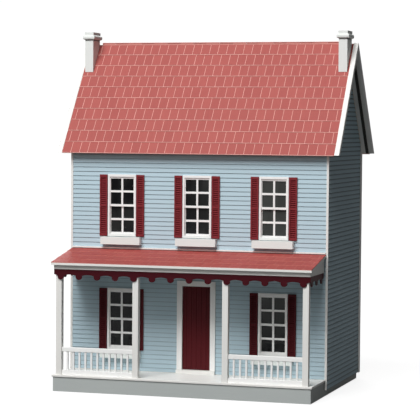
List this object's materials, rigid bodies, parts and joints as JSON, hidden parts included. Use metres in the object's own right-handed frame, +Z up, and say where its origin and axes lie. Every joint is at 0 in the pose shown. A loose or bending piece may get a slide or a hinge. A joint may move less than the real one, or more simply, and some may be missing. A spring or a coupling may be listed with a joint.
{
  "type": "wooden dollhouse",
  "caption": "Two-storey wooden dollhouse with clapboard walls, a hinged gable roof over an attic, an open back, sliding windows and a railed front porch.",
  "frame": {"origin": "centre of the overall box at ground level, under the base", "axes": "+Z up, +X to the right along the front, +Y from the front porch to the open back"},
  "size_m": [0.6216, 0.458, 0.767],
  "materials": {
    "blue_siding": "light blue satin paint on milled wood panel",
    "white_trim": "white satin paint",
    "glass": "clear acrylic glazing",
    "red_roof": "dyed red wooden shingles",
    "maroon_trim": "maroon satin paint",
    "grey_base": "light grey satin paint",
    "bare_wood": "unpainted plywood",
    "chimney_white": "white satin paint",
    "hinge_brass": "plain brass"
  },
  "bodies": {
    "house": {"attic_floor": "bare_wood", "balusters": "white_trim", "base_back_board": "grey_base", "base_front_board": "grey_base", "base_side_boards": "grey_base", "bottom_rails": "white_trim", "door_frame": "white_trim", "door_sill": "white_trim", "first_floor": "bare_wood", "front_corner_strips": "white_trim", "front_rake_strips": "white_trim", "front_roof_panel": "bare_wood", "front_shingles": "red_roof", "front_wall": "blue_siding", "handrails": "white_trim", "interior_window_trim": "white_trim", "left_chimney": "chimney_white", "left_chimney_cap": "chimney_white", "left_wall": "blue_siding", "lower_partition": "bare_wood", "lower_window_frames": "white_trim", "porch_beam": "white_trim", "porch_end_panels": "white_trim", "porch_fascia": "white_trim", "porch_flashing": "white_trim", "porch_floor": "white_trim", "porch_posts": "white_trim", "porch_roof_panel": "white_trim", "porch_shingles": "red_roof", "rear_edge_strips": "white_trim", "ridge_hinge_fixed_leaf": "hinge_brass", "ridge_hinge_pin": "hinge_brass", "right_chimney": "chimney_white", "right_chimney_cap": "chimney_white", "right_wall": "blue_siding", "scalloped_trim_ends": "maroon_trim", "scalloped_trim_front": "maroon_trim", "second_floor": "bare_wood", "shutters": "maroon_trim", "upper_panes": "glass", "upper_partition": "bare_wood", "upper_sashes": "white_trim", "upper_window_frames": "white_trim", "window_boxes": "white_trim"},
    "front_door": {"door_slab": "maroon_trim", "door_pins": "hinge_brass"},
    "rear_roof": {"rear_roof_panel": "bare_wood", "rear_shingles": "red_roof", "rear_rake_strips": "white_trim", "ridge_hinge_moving_leaf": "hinge_brass"},
    "sash_1": {"lower_sash_1": "white_trim", "lower_pane_1": "glass"},
    "sash_2": {"lower_sash_2": "white_trim", "lower_pane_2": "glass"},
    "sash_3": {"lower_sash_3": "white_trim", "lower_pane_3": "glass"},
    "sash_4": {"lower_sash_4": "white_trim", "lower_pane_4": "glass"},
    "sash_5": {"lower_sash_5": "white_trim", "lower_pane_5": "glass"}
  },
  "joints": [
    {"name": "front_door_hinge", "type": "hinge", "parent": "house", "child": "front_door", "pos_m": [-0.02965, -0.09811, 0.131], "axis": [0, 0, 1], "range_deg": [0, 90]},
    {"name": "rear_roof_hinge", "type": "hinge", "parent": "house", "child": "rear_roof", "pos_m": [0, 0.05369, 0.74477], "axis": [1, 0, 0], "range_deg": [0, 110]},
    {"name": "sash_1_slide", "type": "slide", "parent": "house", "child": "sash_1", "axis": [0, 0, 1], "range_m": [0, 0.06]},
    {"name": "sash_2_slide", "type": "slide", "parent": "house", "child": "sash_2", "axis": [0, 0, 1], "range_m": [0, 0.06]},
    {"name": "sash_3_slide", "type": "slide", "parent": "house", "child": "sash_3", "axis": [0, 0, 1], "range_m": [0, 0.06]},
    {"name": "sash_4_slide", "type": "slide", "parent": "house", "child": "sash_4", "axis": [0, 0, 1], "range_m": [0, 0.06]},
    {"name": "sash_5_slide", "type": "slide", "parent": "house", "child": "sash_5", "axis": [0, 0, 1], "range_m": [0, 0.06]}
  ]
}
